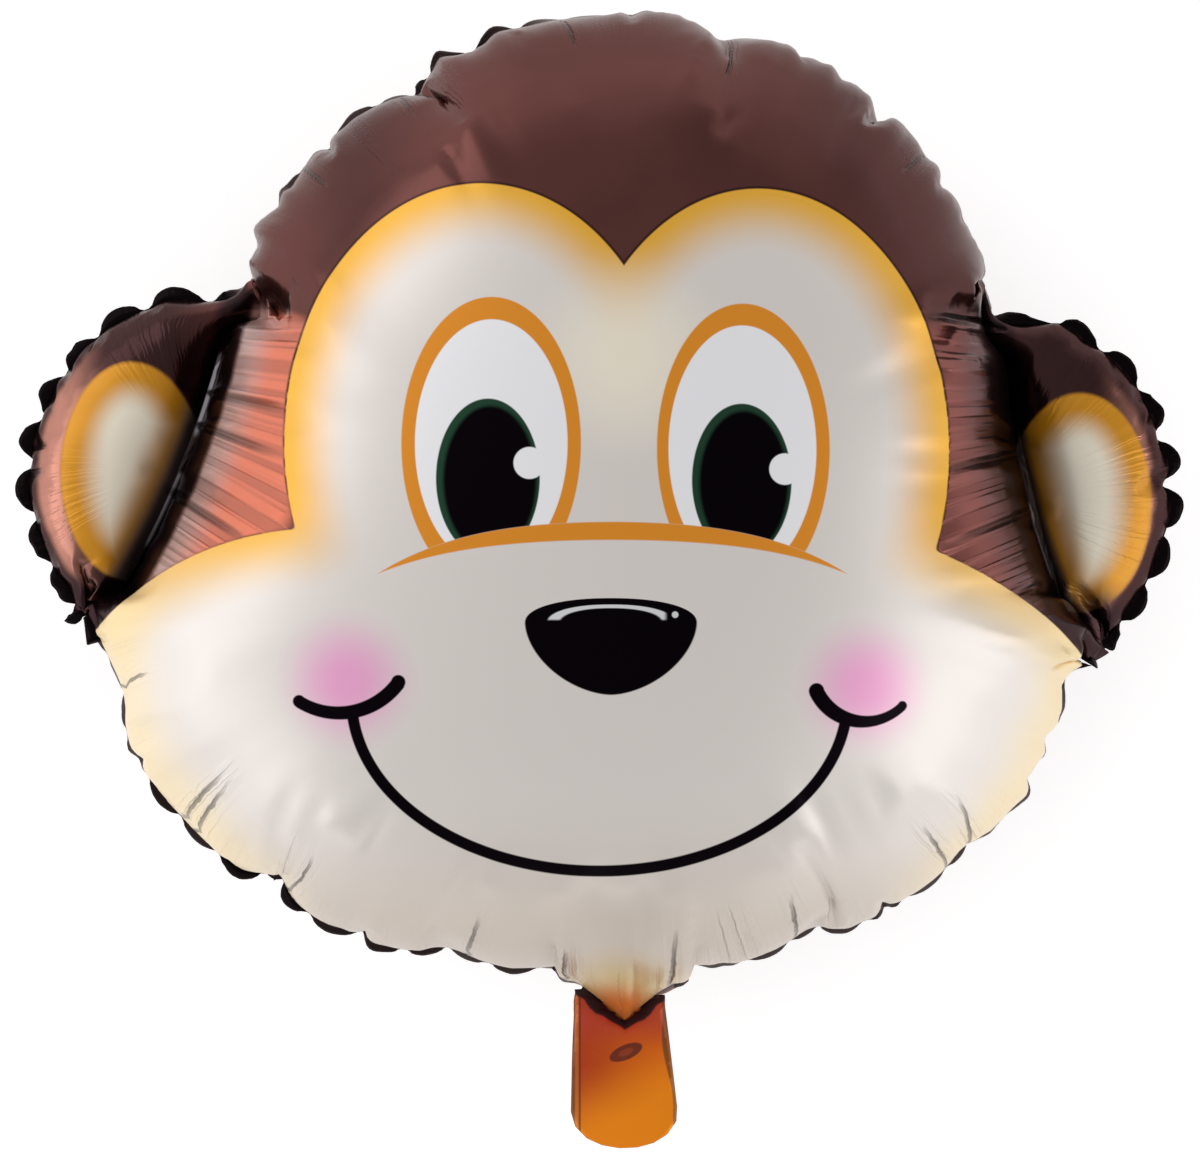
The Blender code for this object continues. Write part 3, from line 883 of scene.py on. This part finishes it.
# the ears: each is measured along its root, and from its root towards the head
for ear in EARS.values():
    (top_x, top_y), (low_x, low_y) = ear["root"]
    root_length = math.hypot(low_x - top_x, low_y - top_y)
    down_root = ((low_x - top_x) / root_length, (low_y - top_y) / root_length, 0.0)
    to_head = (-down_root[1] * ear["head"], down_root[0] * ear["head"], 0.0)
    from_top = film.away(top_x, top_y)
    along_root = film.arrow("DOT_PRODUCT", from_top, down_root)
    middle = minus(calc("DIVIDE", along_root, root_length / 2), 1.0)
    sag = calc("MULTIPLY_ADD", times(middle, middle), -ear["bow"], ear["bow"])
    past_root = minus(film.arrow("DOT_PRODUCT", from_top, to_head), sag)
    in_length = times(fade(along_root, -0.002, 0.006),
                      fade(along_root, root_length + 0.004, root_length - 0.022))

    # the ear's own print, cut off by the fold at its root, with painted shade darkening it towards the root
    off = most(film.oval(*ear["print"]), past_root)
    inner = tint(EAR_GOLD, EAR_WHITE, off, -0.007, -0.026)
    inner = tint(inner, ink(126, 112, 106), past_root, -ear["shade"], -0.002)
    in_ear = inside(off, 0.0014)
    lay(in_ear, inner)
    pale = most(pale, in_ear)

    # the pleated strip beside the fold, painted with the light it reflects and with painted shade in its
    # pleats' valleys, the fold painted dark as shade, and a painted highlight along its weld
    slant = fade(along_root, 0.0, 0.120, 0.30, -0.15)
    across_pleats = calc("MULTIPLY_ADD", past_root, slant, along_root)
    pleats = fade(film.ripples(across_pleats, 150.0), 0.40, 0.60)
    strip = times(fade(past_root, 0.0085, 0.0135), in_length, fade(past_root, 0.070, 0.058), off_face)
    # painted reflection: the strip's pink by the fold and salmon by the face
    strip_sheen = tint(ear["by_fold"], ear["by_face"], past_root, 0.014, 0.034)
    # painted shade in the valleys of the pleats
    strip_sheen = tint(strip_sheen, ink(92, 46, 44), pleats, 0.7, 0.0, 0.35)
    lay(times(strip, 0.9), strip_sheen)
    pale = most(pale, times(strip, ear["matt"]))
    # painted shade: the fold beside the weld and the low end of the root
    fold_shade = times(fade(past_root, 0.0135, 0.0095), fade(past_root, -0.009, -0.003), in_length)
    low_fold_shade = times(fade(calc("ABSOLUTE", past_root), 0.034, 0.020),
                     fade(along_root, root_length - 0.034, root_length - 0.016))
    lay(times(most(fold_shade, low_fold_shade), 0.85), ink(44, 28, 32))
    # painted highlight: a light line along the weld
    for run_start, run_end in ear["highlight_runs"]:
        line = times(fade(calc("ABSOLUTE", past_root), 0.0013, 0.0006),
                     fade(along_root, run_start, run_start + 0.004),
                     fade(along_root, run_end, run_end - 0.006), 0.8)
        lay(line, ink(180, 176, 184))
    pleat_height = calc("MULTIPLY_ADD", pleats, times(strip, 0.5), pleat_height)
    nearest = 1.0
    for place_along in ear["creases"]:
        nearest = least(nearest, gap(across_pleats, place_along))
    crease = times(fade(nearest, 0.0030, 0.0), fade(past_root, -0.004, 0.004),
                   fade(past_root, 0.054, 0.030), off_face)
    crease_depth = most(crease_depth, crease)

# the face, white in its middle and painted greyer towards the muzzle's bottom as shade, with a warm band
# along its edge and a dark line round it
inmost = calc("SMOOTH_MIN", *lobes, 0.045)
inmost = calc("SMOOTH_MIN", inmost, muzzle, 0.045)
band_ink = tint(CREAM, BAND_ORANGE, film.y, -0.070, 0.010)
# painted shade: the muzzle greys towards its bottom
face = tint(FACE_WHITE, LOW_MUZZLE_SHADE, film.y, -0.130, -0.215, 0.70)
face = tint(face, band_ink, least(inmost, mask), -0.034, -0.001)
side_rim = times(fade(film.depth, 0.090, 0.028), fade(from_middle, 0.13, 0.20), 0.75)
face = blend(side_rim, face, SIDE_CREAM)
for x, y, radius, share, spot_ink in SOFT_SPOTS:
    face = tint(face, spot_ink, film.dot(x, y, 0.0), radius, radius * 0.1, share)
mask_line = times(fade(mask, 0.0018, 0.0006), fade(film.y, 0.030, 0.085, 0.15, 0.8))
lay(mask_line, DARK_BROWN)
lay(inside(mask, 0.0005), face)

# the eyes, cut off above by the brow's upper edge, and the brow itself
across = calc("DIVIDE", minus(film.x, BROW["x"]), BROW["half"])
square = times(across, across)
brow_edges = []
for level, second, fourth in (BROW["top"], BROW["bottom"]):
    curve = calc("MULTIPLY_ADD", calc("MULTIPLY_ADD", square, fourth, second), square, level)
    brow_edges.append(curve)
above_brow = minus(film.y, brow_edges[0])
below_brow = minus(brow_edges[1], film.y)
for eye in EYES.values():
    outer, inner, pupil = [most(film.oval(*eye[part]), times(above_brow, -1.0))
                           for part in ("outer", "inner", "pupil")]
    shine = film.dot(*eye["shine"])
    lay(inside(outer), LINE_ORANGE)
    lay(inside(inner), EYE_WHITE)
    in_pupil = times(inside(pupil), minus(1.0, inside(shine)))
    x, y, half_width, half_height = eye["pupil"]
    iris_off = film.oval(x + 0.001, y - 0.001, half_width, half_height)
    iris = tint(PUPIL_GREEN, BLACK, iris_off, -0.0012, -0.0040)
    lay(in_pupil, iris)
    film.black = most(film.black, in_pupil)
brow = most(above_brow, below_brow, minus(gap(film.x, BROW["x"]), BROW["half"]))
lay(inside(brow), LINE_ORANGE)

# the nose, flatter above than below, with a thin line of light in it
nose_x = calc("DIVIDE", gap(film.x, NOSE["x"]), NOSE["half"])
nose_y = minus(film.y, NOSE["y"])
nose_up = most(calc("DIVIDE", nose_y, NOSE["up"]), 0.0)
nose_down = most(calc("DIVIDE", nose_y, -NOSE["down"]), 0.0)
nose_tall = calc("ADD", nose_up, nose_down)
nose_power = fade(nose_y, -0.001, 0.001, NOSE["power_down"], NOSE["power_up"])
nose_wide = calc("POWER", nose_x, nose_power)
nose_sum = calc("ADD", nose_wide, calc("POWER", nose_tall, nose_power))
nose = times(minus(nose_sum, 1.0), 0.02)
lay_black(nose)
gloss_line = times(fade(gap(nose_sum, 0.42), 0.12, 0.07), fade(nose_y, 0.0010, 0.0022),
                   fade(film.x, 0.0335, 0.0310))
gloss_dot = inside(film.dot(*NOSE["shine"]), 0.0003)
lay(most(gloss_line, gloss_dot), EYE_WHITE)

# the smile, and a short bent line in each cheek with round ends
smile = minus(calc("ABSOLUTE", film.oval(*MOUTH)), SMILE_WIDTH)
smile = most(smile, minus(film.y, SMILE_TOP))
lay_black(smile)
for line in CHEEK_LINES.values():
    (left_x, _), (right_x, _) = line["ends"]
    spread = fade(film.x, left_x, right_x, *line["halves"])
    from_centre = film.away(*line["centre"])
    ring = minus(gap(film.arrow("LENGTH", from_centre), line["radius"]), spread)
    for (end_x, end_y), turn in zip(line["ends"], (1.0, -1.0)):
        out_x, out_y = end_x - line["centre"][0], end_y - line["centre"][1]
        share = turn / math.hypot(out_x, out_y)
        ring = most(ring, film.arrow("DOT_PRODUCT", from_centre, (out_y * share, -out_x * share, 0.0)))
    for end, half in zip(line["ends"], line["halves"]):
        ring = least(ring, film.dot(*end, half))
    lay_black(ring)

# the chin's glow, the neck's inks with a painted shadow along the chin's edge, and the margin round the rim,
# inked near black as painted shade over its dark brown film
chin = film.reach(*CHIN_GLOW)
lay(fade(chin, 0.044, 0.020, 0.0, 0.85), ink(192, 166, 110))
lay(fade(chin, 0.026, 0.008, 0.0, 0.95), ink(204, 112, 40))
neck = tint(ink(190, 66, 10), ink(222, 98, 4), film.x, -0.012, 0.026)
low_down = calc("MULTIPLY_ADD", film.x, -0.5, film.y)
neck = tint(neck, ink(254, 144, 6), low_down, -0.272, -0.312)
neck = tint(neck, ink(196, 66, 44), film.y, -0.270, -0.252, 0.8)
neck_right = fade(film.y, -0.262, -0.297, 0.0330, 0.0388)
by_left = minus(film.x, NECK_LEFT)
by_side = least(by_left, minus(neck_right, film.x))
neck = tint(neck, ink(206, 124, 60), by_left, NECK_WELD, 0.0030, 0.5)
neck = tint(neck, ink(96, 42, 24), gap(by_left, NECK_WELD), 0.0008, 0.0003, 0.7)
neck = tint(neck, ink(92, 62, 30), by_side, 0.0018, 0.0008, 0.75)
from_slot = film.away(*SLOT["middle"])
(long_x, long_y), (half_long, half_wide) = SLOT["long_way"], SLOT["halves"]
slot_long = calc("DIVIDE", film.arrow("DOT_PRODUCT", from_slot, (long_x, long_y, 0.0)), half_long)
slot_wide = calc("DIVIDE", film.arrow("DOT_PRODUCT", from_slot, (-long_y, long_x, 0.0)), half_wide)
slot_out = calc("MULTIPLY_ADD", slot_long, slot_long, times(slot_wide, slot_wide))
neck = tint(neck, ink(88, 32, 22), slot_out, 1.15, 0.85, 0.85)
neck = tint(neck, ink(170, 70, 30), slot_out, 0.30, 0.10, 0.6)
# painted shadow: a dark band along the chin's edge where it meets the neck
chin_edge_shade = times(fade(film.depth, -0.0062, -0.0045), fade(film.y, -0.262, -0.256))
neck = blend(chin_edge_shade, neck, ink(48, 24, 34))
past_rim = inside(film.depth)
on_neck = times(fade(by_side, -0.0052, -0.0046), fade(film.y, *NECK_TOP))
# painted shade: the margin, dark brown film, is inked near black
lay(past_rim, blend(on_neck, MARGIN_SHADE_BLACK, neck))
film.black = most(film.black, times(past_rim, minus(1.0, on_neck)))

# a painted highlight along the ears' edges, painted shade in the corners where their roots meet the rim,
# and the creases that run in from the rim, with finer ones beside them, painted darker as shade in their
# grooves
inward = film.inward()
# painted highlight along the edge of each ear
ear_edge_highlight = times(fade(inward, 0.0064, 0.0042), fade(inward, 0.0004, 0.0012),
                 fade(from_middle, 0.252, 0.280, 0.0, 0.7), minus(1.0, pale))
lay(ear_edge_highlight, ink(206, 142, 124))
# painted shade in the corner at the top of each ear's root
for corner in ROOT_CORNER_SHADES:
    lay(fade(film.reach(*corner), 0.0110, 0.0045, 0.0, 0.85), ink(30, 20, 24))
crumple = 0.0
for creases in SHARP_CREASES.values():
    nearest = 1.0
    for degrees, slant in creases["at"]:
        bent = calc("MULTIPLY_ADD", inward, -slant, film.way)
        nearest = least(nearest, gap(bent, way_at(degrees)))
    reach = creases["reach"]
    groove = times(fade(nearest, 0.0020, 0.0), fade(inward, reach, reach * 0.4))
    crease_depth = most(crease_depth, groove)
    beside_it = times(fade(nearest, 0.014, 0.003, 0.0, 0.5), fade(inward, reach * 1.3, reach * 0.6))
    crumple = most(crumple, beside_it)
for degrees, half_length in PLEATED:
    pleated = fade(gap(film.way, way_at(degrees)), half_length, half_length * 0.4)
    crumple = most(crumple, times(pleated, fade(inward, 0.034, 0.018)))
round_rim = calc("MULTIPLY_ADD", inward, 0.10, film.way)
fine_pleats = fade(film.ripples(round_rim, 210.0), 0.38, 0.62)
clusters = fade(film.ripples(film.way, 14.0, 1.0), 0.40, 0.66, 0.0, 0.12)
crumple = calc("MULTIPLY_ADD", clusters, fade(inward, 0.014, 0.004), times(crumple, 0.32))
pleat_height = calc("MULTIPLY_ADD", fine_pleats, crumple, pleat_height)
crease_depth = times(crease_depth, minus(1.0, past_rim))
pleat_height = calc("MULTIPLY_ADD", crease_depth, -1.1, pleat_height)
pale = most(pale, inside(mask, 0.0005))
# painted shade in the grooves of the creases
crease_shade_share = times(crease_depth, fade(pale, 0.0, 1.0, 0.70, 0.60))
lay(crease_shade_share, CREASE_SHADE)

# pale film is half matt, while brown and black film shine like the metal behind them
pale = most(pale, times(on_neck, past_rim))
metal = most(fade(pale, 0.0, 1.0, 0.92, 0.26), film.black)
front_looks = {
    "Metallic": metal, "Roughness": fade(pale, 0.0, 1.0, 0.24, 0.36),
    "Specular Tint": (0.62, 0.56, 0.55, 1.0), "Coat Weight": 0.06}
film.finish(front_looks, pleat_height)

front_sheet = sheet_from_bag("front_sheet", {FRONT, BOTH}, False, film.material)
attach(front_sheet, "root")
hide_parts("front_foil")

# The back sheet. It is the same film with plain brown ink over its metal, cut and
# welded together with the front one. Its margin is inked near black too, as painted shade over the dark
# brown film.
film = Film("plain brown back film")
brown, mottle = film.mottled_brown()
off_middle = film.gap(film.x, NECK_MIDDLE)
on_neck = film.times(film.fade(off_middle, 0.0315, 0.0300), film.fade(film.y, *NECK_TOP))
past_rim = film.times(film.inside(film.depth), film.minus(1.0, on_neck))
clusters = film.fade(film.ripples(film.way, 14.0, 1.0), 0.38, 0.62, 0.0, 0.4)
rim_share = film.times(film.fade(film.inward(), 0.030, 0.006), clusters)
# painted shade: the margin, dark brown film, is inked near black
film.colour = film.blend(past_rim, brown, MARGIN_SHADE_BLACK)
back_looks = {
    "Metallic": film.fade(past_rim, 0.0, 1.0, 0.85, 1.0),
    "Roughness": film.fade(mottle, 0.3, 0.7, 0.29, 0.35), "Coat Weight": 0.12}
film.finish(back_looks, film.times(film.ripples(film.way, 170.0), rim_share))

back_sheet = sheet_from_bag("back_sheet", {BACK, BOTH}, True, film.material)
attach(back_sheet, "root")
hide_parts("back_foil")

# The floor, a plain pale board that the balloon lies on.
floor_mesh = bpy.data.meshes.new("floor")
board = bmesh.new()
bmesh.ops.create_grid(board, x_segments=1, y_segments=1, size=8.0)
board.to_mesh(floor_mesh)
board.free()
floor = placed("floor", floor_mesh)
paper = bpy.data.materials.new("pale paper")
paper.use_nodes = True
paper_nodes = Nodes(paper.node_tree)
grain = paper_nodes.noise("Vector", paper_nodes.add("ShaderNodeTexCoord").outputs["Object"], 40.0, 2.0)
paper_looks = {
    "Base Color": paper_nodes.blend(grain, (0.90, 0.90, 0.90, 1.0), (0.93, 0.93, 0.93, 1.0)),
    "Roughness": 0.9, "Emission Color": (1.0, 1.0, 1.0, 1.0), "Emission Strength": 0.50}
for name, value in paper_looks.items():
    paper_nodes.feed(paper.node_tree.nodes["Principled BSDF"].inputs[name], value)
floor_mesh.materials.append(paper)

# The light: soft boxes to the upper left, the left and the right, and pale walls all
# round, a little darker at the top and on the right.
WALL_TONES = (0.05, 0.38, 0.98, 0.53)
LIT_PLACE = Vector((0.0, 0.0, 0.15))
world = bpy.data.worlds.new("studio")
world.use_nodes = True
bpy.context.scene.world = world
walls = Nodes(world.node_tree)
right, up, above = walls.split(walls.add("ShaderNodeTexCoord").outputs["Generated"])
tone = walls.add("ShaderNodeMapRange", above, *WALL_TONES).outputs[0]
from_left = walls.calc("MULTIPLY_ADD", right, -0.26, 1.0)
from_above = walls.calc("MULTIPLY_ADD", up, 0.06, from_left)
sky = world.node_tree.nodes["Background"]
walls.feed(sky.inputs["Strength"], walls.calc("MULTIPLY", tone, from_above))
sky.inputs["Color"].default_value = (1.0, 1.0, 1.0, 1.0)


def soft_box(name, place, size, brightness):
    """A lit panel of so many metres that faces the balloon, evenly bright."""
    lamp = bpy.data.lights.new(name, "AREA")
    lamp.shape = "RECTANGLE"
    lamp.size, lamp.size_y = size
    lamp.energy = brightness * math.pi * size[0] * size[1]
    box = placed(name, lamp)
    box.location = place
    box.rotation_euler = (LIT_PLACE - Vector(place)).to_track_quat("-Z", "Y").to_euler()


soft_box("upper_left_box", (-2.1, 1.6, 1.3), (2.6, 1.7), 1.2)
soft_box("left_box", (-2.4, -0.6, 0.9), (2.2, 1.2), 1.3)
soft_box("right_box", (2.3, -0.9, 1.1), (2.2, 1.6), 2.0)
bpy.context.scene.view_settings.view_transform = "Standard"

# The camera looks straight down on the balloon from a long way off.
FRAME_CENTRE = (-0.0001, -0.0296)
FRAME_WIDTH = 0.6160
CAMERA_DISTANCE = 4.0
camera_data = bpy.data.cameras.new("camera")
camera_data.sensor_width = 36.0
camera_data.sensor_fit = "HORIZONTAL"
camera_data.lens = 36.0 * CAMERA_DISTANCE / FRAME_WIDTH
camera_data.clip_end = 50.0
camera = placed("camera", camera_data)
camera.location = (*FRAME_CENTRE, SEAM_LEVEL + CAMERA_DISTANCE)
bpy.context.scene.camera = camera

bpy.context.view_layer.update()
